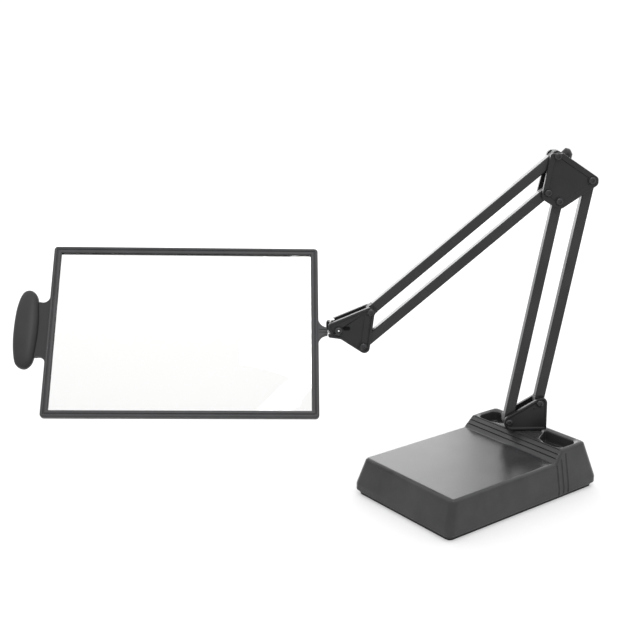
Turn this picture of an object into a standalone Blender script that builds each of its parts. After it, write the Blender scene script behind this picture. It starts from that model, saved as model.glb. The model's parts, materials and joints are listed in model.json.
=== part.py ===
"""Desk page magnifier: a framed rectangular lens on a parallel-link arm with a weighted base.

World frame: metres, +Z up, z = 0 on the table, origin at the centre of the base's underside.
The base's long side runs along Y and its raised pen trays are at +Y.
Lengths below are in millimetres and are scaled to metres when a mesh is made.
Arm frame: u towards the lens, v towards the reader's side of the arm, z up, with u = v = 0 on
the swivel axis. Lens frame: x along the lens from its stub end, y out of its front face, z up it.
"""

import bpy
import bmesh
from math import cos, pi, radians, sin
from mathutils import Matrix, Vector

MM = 0.001
GAP = 0.3

# Base
LIP_X, LIP_Y = 66.4, 100.4
LIP_LOW, LIP_HIGH = 4.6, 11.0
DECK_Z, RAISED_Z = 36.4, 48.0
DECK_FRONT_Y, STEP_FOOT_Y, STEP_TOP_Y, RAISED_BACK_Y = -92.2, 41.9, 52.2, 88.6
SIDE_DRAFT = 0.189
CORNER_ROUND, TOP_ROUND = 7.0, 3.6
WALL = 2.6
CAVITY_TOP_Z = 33.6
TRAY_FLOOR_Z = 36.2
TRAY_Y = (55.2, 79.3)
TRAY_END_X = 56.0
SWIVEL_Y = 66.0
BOSS_R = 20.5
PLATE_X, PLATE_Y = 63.4, 97.3
PAD_TOP, PLATE_LOW, PLATE_TOP = 1.5, 1.8, 4.8
BALLAST_X, BALLAST_Y = 56.0, 87.0
BALLAST_LOW, BALLAST_TOP = 5.1, 26.5
POSTS = ((-50.0, -81.0), (50.0, -81.0), (-50.0, 79.0), (50.0, 79.0))
POST_R, POST_LOW, SCREW_TOP = 4.2, 12.0, 27.0

# Arm: pivots in the arm frame (u, z), rest angles and lengths between pivots
ARM_TURN = radians(235.0)
LOWER_FRONT = (17.7, 57.4)
LOWER_REAR = (-11.9, 77.0)
LOWER_LENGTH, LOWER_LEAN = 224.0, radians(9.5)
ELBOW_LOW = (-8.3, 286.5)
ELBOW_TOP = (-15.5, 320.5)
UPPER_LENGTH, UPPER_DROP = 227.0, radians(40.7)

TUBE_HALF, TUBE_WALL, TUBE_ROUND = 4.76, 1.0, 1.2
EYE_R, EYE_HALF = 4.9, 4.75
PIN_R, PIN_BORE_R = 2.0, 2.3
CHEEK_IN, CHEEK_OUT, RIM, NARROW_RIM, RIM_DEEP = 5.2, 9.0, 3.0, 2.0, 0.8

# Head and lens
STUB_ROOT = (206.7, 151.3)
STUB_RISE = radians(1.1)
LENS_LEAN = radians(37.8)
CLAMP = (-19.0, 3.4)
FRAME_LENGTH, FRAME_HEIGHT, FRAME_HALF_DEPTH = 260.4, 175.6, 3.5
BAR, CORNER_R = 7.0, 3.5
LENS_MARGIN, LENS_BACK, LENS_FRONT, LENS_BULGE = 4.6, -1.3, 1.5, 1.8

BLACK, CHARCOAL = (0.028, 0.028, 0.030), (0.055, 0.055, 0.058)
STEEL, PAINT = (0.56, 0.57, 0.58), (0.022, 0.022, 0.024)
LOOKS = {
    "base_plastic": (BLACK, 0.0, 0.35, 1.0),
    "frame_plastic": (CHARCOAL, 0.0, 0.45, 1.0),
    "bracket_plastic": (BLACK, 0.0, 0.5, 1.0),
    "tube_paint": (PAINT, 0.3, 0.4, 1.0),
    "iron": ((0.10, 0.10, 0.11), 0.8, 0.7, 1.0),
    "steel": (STEEL, 1.0, 0.3, 1.0),
    "black_steel": ((0.04, 0.04, 0.042), 0.6, 0.4, 1.0),
    "plug_nylon": ((0.02, 0.02, 0.02), 0.0, 0.6, 1.0),
    "bushing_nylon": ((0.03, 0.03, 0.032), 0.0, 0.5, 1.0),
    "rubber": ((0.015, 0.015, 0.015), 0.0, 0.9, 1.0),
    "acrylic": ((0.92, 0.95, 0.96), 0.0, 0.05, 0.3),
}


def clear_scene():
    for obj in list(bpy.data.objects):
        bpy.data.objects.remove(obj, do_unlink=True)


def new_collection(name):
    collection = bpy.data.collections.new(name)
    bpy.context.scene.collection.children.link(collection)
    return collection


def look(name):
    material = bpy.data.materials.get(name)
    if material:
        return material
    colour, metallic, roughness, alpha = LOOKS[name]
    material = bpy.data.materials.new(name)
    material.use_nodes = True
    shader = material.node_tree.nodes["Principled BSDF"]
    shader.inputs["Base Color"].default_value = (*colour, 1.0)
    shader.inputs["Metallic"].default_value = metallic
    shader.inputs["Roughness"].default_value = roughness
    shader.inputs["Alpha"].default_value = alpha
    return material


clear_scene()
PARTS = new_collection("magnifying_lamp")
CUTTERS = new_collection("cutters")
WORLD = Matrix.Identity(4)
ARM = Matrix.Translation((0, SWIVEL_Y * MM, 0)) @ Matrix.Rotation(ARM_TURN, 4, "Z")
STUB = (
    ARM
    @ Matrix.Translation((STUB_ROOT[0] * MM, 0, STUB_ROOT[1] * MM))
    @ Matrix.Rotation(-STUB_RISE, 4, "Y")
)
LENS = STUB @ Matrix.Rotation(LENS_LEAN, 4, "X")


def finish_mesh(name, bm, frame, origin, material):
    """The object made from a mesh in millimetres of its frame. With no material it is a cutter."""
    bmesh.ops.translate(bm, verts=bm.verts, vec=-Vector(origin))
    bmesh.ops.scale(bm, verts=bm.verts, vec=(MM, MM, MM))
    bmesh.ops.recalc_face_normals(bm, faces=bm.faces)
    mesh = bpy.data.meshes.new(name)
    bm.to_mesh(mesh)
    bm.free()
    obj = bpy.data.objects.new(name, mesh)
    obj.matrix_world = frame @ Matrix.Translation(Vector(origin) * MM)
    if material:
        mesh.materials.append(look(material))
        PARTS.objects.link(obj)
    else:
        obj.hide_render = True
        obj.display_type = "WIRE"
        CUTTERS.objects.link(obj)
    return obj


def boolean(target, tool, operation="DIFFERENCE"):
    modifier = target.modifiers.new(operation.lower(), "BOOLEAN")
    modifier.operation = operation
    modifier.solver = "EXACT"
    modifier.object = tool
    return target


def cut(target, tool):
    return boolean(target, tool)


def join(target, tool):
    return boolean(target, tool, "UNION")


def skin(bm, rings, wrap=False):
    """Joins rings of points into a surface. An end ring is capped, or joined to the first ring."""
    loops = [[bm.verts.new(point) for point in ring] for ring in rings]
    pairs = list(zip(loops, loops[1:]))
    if wrap:
        pairs.append((loops[-1], loops[0]))
    for first, second in pairs:
        for i in range(max(len(first), len(second))):
            corners = [first[i % len(first)], first[(i + 1) % len(first)]]
            corners += [second[(i + 1) % len(second)], second[i % len(second)]]
            bm.faces.new(list(dict.fromkeys(corners)))
    if not wrap:
        for loop in (loops[0], loops[-1]):
            if len(loop) > 2:
                bm.faces.new(loop)
    return bm


def on_plane(plane, point, depth):
    """A 2-D point and a depth as a 3-D point: xy, xz or yz is the plane, the depth the third."""
    a, b = point
    return {"xy": (a, b, depth), "xz": (a, depth, b), "yz": (depth, a, b)}[plane]


def prism(name, outline, low, high, plane="xy", frame=WORLD, origin=(0, 0, 0), material=None):
    rings = [[on_plane(plane, p, d) for p in outline] for d in (low, high)]
    return finish_mesh(name, skin(bmesh.new(), rings), frame, origin, material)


def tube_prism(name, outer, inner, low, high, plane, frame, origin, material):
    """A prism with a hole through it. Both outlines have the same number of points."""
    sides = ((outer, low), (outer, high), (inner, high), (inner, low))
    rings = [[on_plane(plane, p, d) for p in outline] for outline, d in sides]
    return finish_mesh(name, skin(bmesh.new(), rings, True), frame, origin, material)


def turned(name, profile, centre, axis, frame=WORLD, origin=None, material=None, steps=20):
    """A lathe shape: the profile is (distance along the axis, radius) from the centre."""
    side, up = {"x": ((0, 1, 0), (0, 0, 1)), "y": ((0, 0, 1), (1, 0, 0)), "z": ((1, 0, 0), (0, 1, 0))}[axis]
    along = Vector({"x": (1, 0, 0), "y": (0, 1, 0), "z": (0, 0, 1)}[axis])
    side, up, centre = Vector(side), Vector(up), Vector(centre)
    rings = []
    for distance, radius in profile:
        middle = centre + along * distance
        count = steps if radius > 0 else 1
        turns = [2 * pi * i / steps for i in range(count)]
        rings.append([middle + radius * (cos(t) * side + sin(t) * up) for t in turns])
    hollow = all(radius > 0 for _, radius in profile)
    shape = skin(bmesh.new(), rings, hollow)
    return finish_mesh(name, shape, frame, origin or tuple(centre), material)


def rod(name, radius, low, high, centre, axis, frame=WORLD, steps=20):
    profile = ((low, 0), (low, radius), (high, radius), (high, 0))
    return turned(name, profile, centre, axis, frame, None, None, steps)


def arc(centre, radius, start, end, count):
    turns = [radians(start + (end - start) * i / count) for i in range(count + 1)]
    return [(centre[0] + radius * cos(t), centre[1] + radius * sin(t)) for t in turns]


def rounded_box(half_x, half_y, radius, count=3, centre=(0, 0)):
    """A rounded rectangle, anticlockwise."""
    points = []
    for i, (sx, sy) in enumerate(((1, 1), (-1, 1), (-1, -1), (1, -1))):
        middle = (centre[0] + sx * (half_x - radius), centre[1] + sy * (half_y - radius))
        points += arc(middle, radius, 90 * i, 90 * i + 90, count)
    return points


def inset(outline, distance):
    """The outline moved inwards along the bisector at each corner. It runs anticlockwise."""
    moved = []
    for before, here, after in zip(outline[-1:] + outline, outline, outline[1:] + outline[:1]):
        first = Vector(here) - Vector(before)
        second = Vector(after) - Vector(here)
        normals = [Vector((-d.y, d.x)).normalized() for d in (first, second)]
        bisector = (normals[0] + normals[1]).normalized()
        reach = min(distance / max(bisector.dot(normals[0]), 0.3), 1.6 * distance)
        moved.append(tuple(Vector(here) + bisector * reach))
    return moved


def anticlockwise(outline):
    area = sum(a[0] * b[1] - b[0] * a[1] for a, b in zip(outline, outline[1:] + outline[:1]))
    return outline if area > 0 else outline[::-1]


def shift(point, length, angle):
    return (point[0] + length * cos(angle), point[1] + length * sin(angle))


def bevelled(obj, width, segments=2, angle=30.0):
    modifier = obj.modifiers.new("edges", "BEVEL")
    modifier.width = width * MM
    modifier.segments = segments
    modifier.limit_method = "ANGLE"
    modifier.angle_limit = radians(angle)
    return obj


# ---------------------------------------------------------------- base


def side_x(z):
    """Half the shell's width at a height: upright along the lip, drafted above it."""
    return LIP_X - SIDE_DRAFT * max(0.0, z - LIP_HIGH)


def drafted_block(name, outline, width_at, material=None, round_at=None):
    """A side outline (y, z) with both side walls at the width its height gives.

    round_at gives the rounding of an edge, in millimetres, from its two ends.
    """
    bm = skin(bmesh.new(), [[(side, y, z) for y, z in outline] for side in (-1, 1)])
    lip_line = [v for v in bm.verts if abs(v.co.z - LIP_HIGH) < 0.01]
    for side in (-1, 1):
        bmesh.ops.connect_verts(bm, verts=[v for v in lip_line if v.co.x == side])
    for vert in bm.verts:
        vert.co.x *= width_at(vert.co.z)
    if round_at:
        weight = bm.edges.layers.float.new("bevel_weight_edge")
        for edge in bm.edges:
            edge[weight] = round_at(*[vert.co for vert in edge.verts]) / CORNER_ROUND
    block = finish_mesh(name, bm, WORLD, (0, 0, 0), material)
    if round_at:
        bevelled(block, CORNER_ROUND, 4).modifiers["edges"].limit_method = "WEIGHT"
    return block


def base_rounding(a, b):
    """Wide rounding on the upright corners, less round the top, none along the bottom and lip."""
    low, high = min(a.z, b.z), max(a.z, b.z)
    across = a.x * b.x < 0
    if high < LIP_HIGH + 1 and high - low < 1:
        return 0.0
    if high - low > 1 and not across:
        return TOP_ROUND if low > DECK_Z - 1 else CORNER_ROUND
    if across and abs((a.y + b.y) / 2 - STEP_FOOT_Y) < 12:
        return 1.6
    return TOP_ROUND


def make_base_shell():
    outline = [
        (-LIP_Y, LIP_LOW), (LIP_Y, LIP_LOW), (LIP_Y, LIP_HIGH), (RAISED_BACK_Y, RAISED_Z),
        (STEP_TOP_Y, RAISED_Z), (STEP_FOOT_Y, DECK_Z), (DECK_FRONT_Y, DECK_Z), (-LIP_Y, LIP_HIGH),
    ]
    shell = drafted_block("base_shell", outline, side_x, "base_plastic", base_rounding)
    for i in range(3):
        cut(shell, step_notch(i))
        for side in (-1, 1):
            cut(shell, side_groove(i, side))
    inside = [
        (-LIP_Y + WALL, 3.0), (LIP_Y - WALL, 3.0), (LIP_Y - WALL, LIP_HIGH),
        (89.3, CAVITY_TOP_Z), (-90.3, CAVITY_TOP_Z), (-LIP_Y + WALL, LIP_HIGH),
    ]
    cut(shell, drafted_block("shell_cavity", inside, lambda z: side_x(z) - WALL))
    join(shell, rod("swivel_boss", 12.0, 20.0, 40.0, (0, SWIVEL_Y, 0), "z", steps=28))
    for i, (x, y) in enumerate(POSTS):
        post = rod(f"screw_post_{i}", POST_R, POST_LOW, 35.0, (x, y, 0), "z", steps=12)
        join(shell, post)
        pilot = rod(f"screw_pilot_{i}", 1.6 + GAP, 5.0, 28.5, (x, y, 0), "z", steps=12)
        cut(shell, pilot)
    for side in (-1, 1):
        cut(shell, prism(f"tray_pocket_{side}", tray_outline(side), TRAY_FLOOR_Z, 60.0))
    cut(shell, rod("swivel_bore", 6.8, 10.0, 60.0, (0, SWIVEL_Y, 0), "z", steps=24))
    return shell


def tray_outline(side):
    """A pen tray in plan: straight walls, round outer corners, hollowed round the swivel boss."""
    y0, y1 = TRAY_Y
    inner = [(BOSS_R * cos(t), SWIVEL_Y + BOSS_R * sin(t)) for t in (0.69, 0.45, 0.2, 0.0)]
    near = [(22.2, 62.0), (26.0, 58.0), (31.0, 55.8), (36.0, y0)]
    corner_a = arc((TRAY_END_X - 5, y0 + 5), 5.0, -90, 0, 3)
    corner_b = arc((TRAY_END_X - 5, y1 - 5), 5.0, 0, 90, 3)
    return [(side * x, y) for x, y in inner + near + corner_a + corner_b]


def step_notch(i):
    """One of three shallow saw teeth across the slope in front of the trays."""
    foot = Vector((STEP_FOOT_Y, DECK_Z))
    run = Vector((STEP_TOP_Y, RAISED_Z)) - foot
    out = Vector((-run.y, run.x)).normalized()
    a = foot + run * (0.06 + 0.31 * i)
    b = foot + run * (0.06 + 0.31 * (i + 1) - 0.02)
    valley = a + (b - a) * 0.84 - out * 1.0
    outline = [tuple(a + out * 2), tuple(a), tuple(valley), tuple(b), tuple(b + out * 2)]
    return prism(f"step_notch_{i}", outline, -70.0, 70.0, "yz")


def side_groove(i, side):
    """A shallow upright groove that carries a saw tooth down the side wall."""
    y = STEP_FOOT_Y + 2.1 + 6.6 * i
    top = min(RAISED_Z - 6.0, DECK_Z - 3.0 + 4.5 * i)
    ends = [(side_x(z) + d, z) for z, d in ((2.0, -0.8), (2.0, 3.0), (top, 3.0), (top, -0.8), (LIP_HIGH, -0.8))]
    outline = [(side * x, z) for x, z in ends]
    return prism(f"side_groove_{i}_{side}", outline, y - 0.9, y + 0.9, "xz")


def make_base_bottom():
    outline = rounded_box(PLATE_X - 0.7, PLATE_Y - 0.7, 4.0)
    prism("non_slip_pad", outline, 0.0, PAD_TOP, material="rubber")
    plate = prism("bottom_plate", rounded_box(PLATE_X, PLATE_Y, 4.5), PLATE_LOW, PLATE_TOP, material="black_steel")
    weight = prism("ballast", rounded_box(BALLAST_X, BALLAST_Y, 6.0), BALLAST_LOW, BALLAST_TOP, material="iron")
    cut(weight, rod("ballast_well", 13.5, 0.0, 40.0, (0, SWIVEL_Y, 0), "z", steps=24))
    for i, (x, y) in enumerate(POSTS):
        cut(weight, rod(f"ballast_hole_{i}", POST_R + 0.8, 0.0, 40.0, (x, y, 0), "z", steps=12))
        cut(plate, rod(f"screw_seat_{i}", 3.6, 1.0, 3.7, (x, y, 0), "z", steps=12))
        cut(plate, rod(f"screw_hole_{i}", 1.6 + GAP, 0.0, 10.0, (x, y, 0), "z", steps=12))
        profile = ((2.0, 0), (2.0, 3.2), (3.4, 3.2), (3.4, 1.6), (SCREW_TOP - 1.5, 1.6), (SCREW_TOP, 0))
        turned(f"base_screw_{i + 1}", profile, (x, y, 0), "z", material="steel", steps=12)


def make_swivel():
    centre = (0, SWIVEL_Y, 0)
    bushing = ((20.3, 3.5), (20.3, 6.5), (48.3, 6.5), (48.3, 8.8), (49.9, 8.8), (49.9, 3.5))
    turned("swivel_bushing", bushing, centre, "z", material="bushing_nylon", steps=24)
    bolt = ((13.6, 0), (13.6, 3.2), (54.6, 3.2), (54.6, 4.7), (57.4, 4.4), (58.0, 3.6), (58.0, 0))
    turned("swivel_bolt", bolt, centre, "z", material="steel", steps=20)
    washer = ((18.5, 3.5), (18.5, 8.5), (19.9, 8.5), (19.9, 3.5))
    turned("swivel_washer", washer, centre, "z", material="steel", steps=20)
    hex_nut("swivel_nut", 5.6, 3.5, 14.4, 18.2, centre, "xy", WORLD, "steel")


# ---------------------------------------------------------------- arm hardware


def hex_nut(name, radius, bore, low, high, centre, plane, frame, material):
    """A six-sided nut. The plane is that of its outline, and low and high are depths."""
    a, b = {"xy": (0, 1), "xz": (0, 2)}[plane]
    middle = (centre[a], centre[b])
    corners = [shift(middle, radius, radians(60 * i)) for i in range(6)]
    outer = []
    for first, second in zip(corners, corners[1:] + corners[:1]):
        outer += [first, tuple((Vector(first) + Vector(second)) / 2)]
    inner = [shift(middle, bore, radians(30 * i)) for i in range(12)]
    return tube_prism(name, outer, inner, low, high, plane, frame, tuple(centre), material)


def make_pivot(name, pivot, head_r=3.6):
    """A pivot bolt across both cheeks of a bracket, and its nut on the far side."""
    centre = (pivot[0], 0, pivot[1])
    near = CHEEK_OUT + GAP
    profile = (
        (near + 1.6, 0), (near + 1.6, 0.6 * head_r), (near + 1.1, head_r), (near, head_r),
        (near, PIN_R), (-near - 3.2, PIN_R), (-near - 3.6, PIN_R - 0.5), (-near - 3.6, 0),
    )
    turned(f"{name}_bolt", profile, centre, "y", ARM, material="black_steel", steps=12)
    hex_nut(f"{name}_nut", 3.9, PIN_BORE_R, -near - 2.6, -near, centre, "xz", ARM, "black_steel")


def bore_cutter(name, pivot, radius=PIN_BORE_R):
    return rod(name, radius, -20.0, 20.0, (pivot[0], 0, pivot[1]), "y", ARM, 12)


def make_link(name, start, length, angle, spring_from=None):
    """A square tube between two pivots, with a nylon eye plug in each end."""
    frame = ARM @ Matrix.Translation((start[0] * MM, 0, start[1] * MM))
    frame = frame @ Matrix.Rotation(-angle, 4, "Y")
    outer = rounded_box(TUBE_HALF, TUBE_HALF, TUBE_ROUND)
    bore = TUBE_HALF - TUBE_WALL
    inner = rounded_box(bore, bore, 0.5)
    tube_prism(f"{name}_tube", outer, inner, 5.4, length - 5.4, "yz", frame, (0, 0, 0), "tube_paint")
    for end, sign, x in (("start", 1, 0.0), ("end", -1, length)):
        eye = [(x - sign * EYE_R * cos(t), EYE_R * sin(t)) for t in [pi * i / 10 - pi / 2 for i in range(11)]]
        shoulder, tongue, half = x + sign * 5.2, x + sign * 20.0, bore - GAP
        eye += [(shoulder, EYE_R - 0.15), (shoulder, half), (tongue, half)]
        eye += [(tongue, -half), (shoulder, -half), (shoulder, -EYE_R + 0.15)]
        plug = prism(f"{name}_plug_{end}", eye, -EYE_HALF, EYE_HALF, "xz", frame, (x, 0, 0), "plug_nylon")
        reach = sorted((x + sign * 5.35, x + sign * 30.0))
        for side in (-1, 1):
            wall = sorted((side * half, side * 9.0))
            points = [(reach[0], wall[0]), (reach[1], wall[0]), (reach[1], wall[1]), (reach[0], wall[1])]
            cut(plug, prism(f"{name}_{end}_waist_{side}", points, -9.0, 9.0, "xy", frame))
        bore_x = rod(f"{name}_{end}_bore", PIN_BORE_R, -9.0, 9.0, (x, 0, 0), "y", frame, 12)
        cut(plug, bore_x)
    if spring_from is not None:
        make_spring(f"{name}_spring", frame, spring_from)


def make_spring(name, frame, start, turns=9, pitch=5.0, radius=2.6, wire=0.42, steps=8):
    """A coil inside a tube that starts against its plug."""
    curve = bpy.data.curves.new(name, "CURVE")
    curve.dimensions = "3D"
    curve.bevel_depth = wire * MM
    curve.bevel_resolution = 2
    curve.use_fill_caps = True
    line = curve.splines.new("POLY")
    line.points.add(turns * steps)
    for i, point in enumerate(line.points):
        turn = 2 * pi * i / steps
        place = Vector((start + pitch * i / steps, radius * cos(turn), radius * sin(turn))) * MM
        point.co = (*place, 1.0)
    curve.materials.append(look("steel"))
    obj = bpy.data.objects.new(name, curve)
    obj.matrix_world = frame
    PARTS.objects.link(obj)


# ---------------------------------------------------------------- brackets


def cheek(name, outline, side, material=None, rim=RIM):
    """One side plate of a bracket with a raised rim round a shallow panel."""
    outline = anticlockwise(outline)
    low, high = sorted((side * CHEEK_IN, side * CHEEK_OUT))
    plate = prism(name, outline, low, high, "xz", ARM, (0, 0, 0), material)
    low, high = sorted((side * (CHEEK_OUT - RIM_DEEP), side * (CHEEK_OUT + 2.0)))
    cut(plate, prism(f"{name}_panel", inset(outline, rim), low, high, "xz", ARM))
    return plate


def pivot_pad(name, pivot, side, radius=4.7):
    """The round pad that lifts a bolt's seat to the rim's level."""
    low, high = sorted((side * (CHEEK_IN + 0.5), side * CHEEK_OUT))
    return rod(name, radius, low, high, (pivot[0], 0, pivot[1]), "y", ARM, 16)


def make_base_bracket():
    """The U-shaped foot of the arm: two cheeks and the web that the swivel bolt holds."""
    outline = [
        (-20.0, 50.2), (14.2, 50.2), (18.4, 51.4), (21.0, 54.0), (21.9, 57.6), (20.6, 61.4),
        (17.6, 64.4), (7.1, 71.4), (-9.0, 80.8), (-12.4, 81.7), (-16.2, 80.8), (-18.7, 78.0), (-19.4, 72.0),
    ]
    bracket = cheek("base_bracket", outline, 1, "bracket_plastic", NARROW_RIM)
    join(bracket, cheek("base_bracket_far", outline, -1, rim=NARROW_RIM))
    web = [(-20.0, 50.2), (10.6, 50.2), (10.6, 54.2), (-19.8, 54.2)]
    join(bracket, prism("base_bracket_web", web, -CHEEK_IN - 1, CHEEK_IN + 1, "xz", ARM))
    for label, pivot in (("front", LOWER_FRONT), ("rear", LOWER_REAR)):
        for side in (-1, 1):
            join(bracket, pivot_pad(f"base_pad_{label}_{side}", pivot, side, 4.0))
        cut(bracket, bore_cutter(f"base_bore_{label}", pivot))
    cut(bracket, rod("base_bracket_hole", 3.5, 40.0, 60.0, (0, 0, 0), "z", ARM, 20))


def make_elbow():
    """Two kite-shaped cheeks. The far one has an ear beside the top pivot."""
    outline = [
        (-8.4, 321.4), (-10.6, 323.6), (-14.0, 325.0), (-18.2, 324.8), (-21.8, 322.6), (-26.5, 318.9),
        (-36.8, 312.8), (-46.6, 306.3), (-51.8, 302.8), (-54.3, 300.6), (-55.0, 297.6), (-54.0, 294.2),
        (-51.2, 291.6), (-38.7, 283.6), (-24.0, 273.4), (-20.0, 272.2), (-16.5, 272.6), (-12.8, 274.6),
        (-5.9, 279.8), (-3.1, 282.6), (-2.4, 286.0), (-3.6, 290.0), (-6.3, 306.3), (-8.2, 319.0),
    ]
    ear = [(-24.1, 324.8), (-26.8, 326.2), (-30.6, 324.6), (-32.5, 321.7), (-31.4, 315.9)]
    near = cheek("elbow_near_cheek", outline, 1, "bracket_plastic")
    far_outline = outline[:5] + ear + outline[6:]
    far = cheek("elbow_far_cheek", far_outline, -1, "bracket_plastic")
    for label, pivot in elbow_pivots().items():
        join(near, pivot_pad(f"elbow_near_pad_{label}", pivot, 1, 4.4))
        join(far, pivot_pad(f"elbow_far_pad_{label}", pivot, -1, 4.4))
        cut(near, bore_cutter(f"elbow_near_bore_{label}", pivot))
        cut(far, bore_cutter(f"elbow_far_bore_{label}", pivot))


def lower_end(start):
    return shift(start, LOWER_LENGTH, pi / 2 + LOWER_LEAN)


def upper_end(start):
    return shift(start, UPPER_LENGTH, -UPPER_DROP)


def elbow_pivots():
    return {
        "lower_front": lower_end(LOWER_FRONT), "lower_rear": lower_end(LOWER_REAR),
        "upper_low": ELBOW_LOW, "upper_top": ELBOW_TOP,
    }


def head_pivots():
    return {"low": upper_end(ELBOW_LOW), "top": upper_end(ELBOW_TOP)}


def stub_to_arm(point):
    """A point of the stub's frame (x, z) in the arm frame (u, z)."""
    x, z = point
    turn = STUB_RISE
    return (STUB_ROOT[0] + x * cos(turn) - z * sin(turn), STUB_ROOT[1] + x * sin(turn) + z * cos(turn))


def make_head():
    """The U-shaped head bracket that clamps the lens's knuckle between its noses."""
    outline = [
        (195.8, 147.5), (197.6, 150.6), (197.6, 157.6), (195.4, 161.4), (178.1, 168.6), (161.0, 176.2),
        (157.6, 177.2), (154.4, 175.9), (152.8, 172.8), (155.2, 151.9), (157.2, 137.6), (158.8, 134.2),
        (162.0, 132.2), (166.0, 132.8), (176.0, 139.5), (185.7, 146.0), (190.5, 146.8),
    ]
    head = cheek("head_bracket", outline, 1, "bracket_plastic")
    join(head, cheek("head_bracket_far", outline, -1))
    web = [(171.2, 136.1), (185.9, 146.0), (184.4, 148.6), (171.2, 139.6)]
    join(head, prism("head_bracket_web", web, -CHEEK_IN - 1, CHEEK_IN + 1, "xz", ARM))
    clamp = stub_to_arm(CLAMP)
    seats = dict(head_pivots(), clamp=clamp)
    for label, pivot in seats.items():
        for side in (-1, 1):
            join(head, pivot_pad(f"head_pad_{label}_{side}", pivot, side, 4.4))
        cut(head, bore_cutter(f"head_bore_{label}", pivot))
    slot = rounded_box(3.6, 1.7, 1.6, 4, (179.9, 156.6))
    cut(head, prism("head_slot", slot, -12.0, 12.0, "xz", ARM))


def make_knuckle():
    """The block on the clamp bolt that the lens's steel pin turns in."""
    x, z = CLAMP
    outline = arc((x, z), 6.4, 90, 270, 8) + [(-10.7, -4.0), (-10.7, 9.8)]
    block = prism("knuckle", outline, -EYE_HALF, EYE_HALF, "xz", STUB, (x, 0, z), "bracket_plastic")
    cut(block, rod("knuckle_bore", PIN_BORE_R, -9.0, 9.0, (x, 0, z), "y", STUB, 12))
    cut(block, rod("knuckle_socket", 2.5, -15.6, 0.0, (0, 0, 0), "x", STUB, 16))
    cut(block, rod("knuckle_screw_hole", 1.5, 1.0, 20.0, (-12.4, 0, 0), "z", STUB, 12))
    profile = (
        (1.95, 0), (1.95, 0.8), (3.2, 0.8), (3.6, 1.2), (10.1, 1.2),
        (10.1, 2.9), (12.4, 2.9), (12.7, 2.6), (12.7, 0),
    )
    turned("knuckle_screw", profile, (-12.4, 0, 0), "z", STUB, material="steel", steps=12)


# ---------------------------------------------------------------- lens


def frame_loop(margin, y, count=3):
    """A rounded rectangle a margin inside the frame's outside, at a depth."""
    half_x, half_z = FRAME_LENGTH / 2 - margin, FRAME_HEIGHT / 2 - margin
    points = rounded_box(half_x, half_z, max(CORNER_R - margin, 1.0), count, (FRAME_LENGTH / 2, 0))
    return [(x, y, z) for x, z in points]


def frame_sweep(name, profile, material):
    """A section of (margin, depth) points carried round the frame."""
    rings = [frame_loop(margin, y) for margin, y in profile]
    return finish_mesh(name, skin(bmesh.new(), rings, True), LENS, (0, 0, 0), material)


def make_lens_frame():
    """The moulded frame: rounded rim, groove, inner ledge, rebates behind, stub and grip tab."""
    d = FRAME_HALF_DEPTH
    profile = (
        (0.0, -d + 0.9), (0.0, d - 1.2), (0.5, d - 0.4), (1.3, d), (2.9, d), (3.2, d - 0.9),
        (3.8, d - 0.9), (4.1, d - 0.4), (5.9, d - 0.4), (BAR, d - 0.9), (BAR, 1.8),
        (LENS_MARGIN - GAP, 1.8), (LENS_MARGIN - GAP, -1.6), (3.2, -1.6), (3.2, -d + 0.2),
        (0.9, -d),
    )
    frame = frame_sweep("lens_frame", profile, "frame_plastic")
    flare = [(3.0, 12.2), (0.0, 11.8), (-1.0, 8.8), (-2.9, 6.2), (-5.4, 4.6), (-7.4, 3.9), (-8.9, 3.8)]
    stub = flare + [(x, -z) for x, z in flare[::-1]]
    join(frame, prism("stub_body", stub, -2.7, 2.7, "xz", LENS))
    for i, z in enumerate((-1.6, 1.2)):
        groove = [(-10.0, z - 0.35), (-0.5, z - 0.35), (-0.5, z + 0.35), (-10.0, z + 0.35)]
        cut(frame, prism(f"stub_groove_{i}", groove, 2.3, 5.0, "xz", LENS))
    cut(frame, rod("stub_socket", 1.9, -12.0, -1.5, (0, 0, 0), "x", LENS, 16))
    end = FRAME_LENGTH
    edge = [(end - 3.0, 33.0), (end, 32.4), (end + 2.0, 29.4), (end + 5.0, 27.8), (end + 8.2, 28.4)]
    edge += [(end + 9.8, 29.2), (end + 9.8, 25.6), (end + 23.4, 25.6)]
    tab = edge + [(x, -z) for x, z in edge[::-1]]
    tab_body = prism("grip_tab", tab, -2.2, 2.2, "xz", LENS)
    join(frame, tab_body)
    for i, z in enumerate((-18.0, 18.0)):
        cut(frame, rod(f"tab_hole_{i}", 1.7, -9.0, 9.0, (end + 20.0, 0, z), "y", LENS, 12))


def make_lens_retainer():
    d = FRAME_HALF_DEPTH
    profile = ((3.5, -d + 0.3), (3.5, -1.9), (BAR, -1.9), (BAR, -d + 0.5), (BAR - 0.5, -d + 0.3))
    frame_sweep("lens_retainer", profile, "frame_plastic")


def lens_dome(x, z):
    """The bulge of a lens face: none at the rim, all of it at the centre."""
    half_x, half_z = FRAME_LENGTH / 2 - BAR, FRAME_HEIGHT / 2 - BAR
    rise = max(0.0, 1 - (x / half_x) ** 2) * max(0.0, 1 - (z / half_z) ** 2)
    return LENS_BULGE * rise


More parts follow.
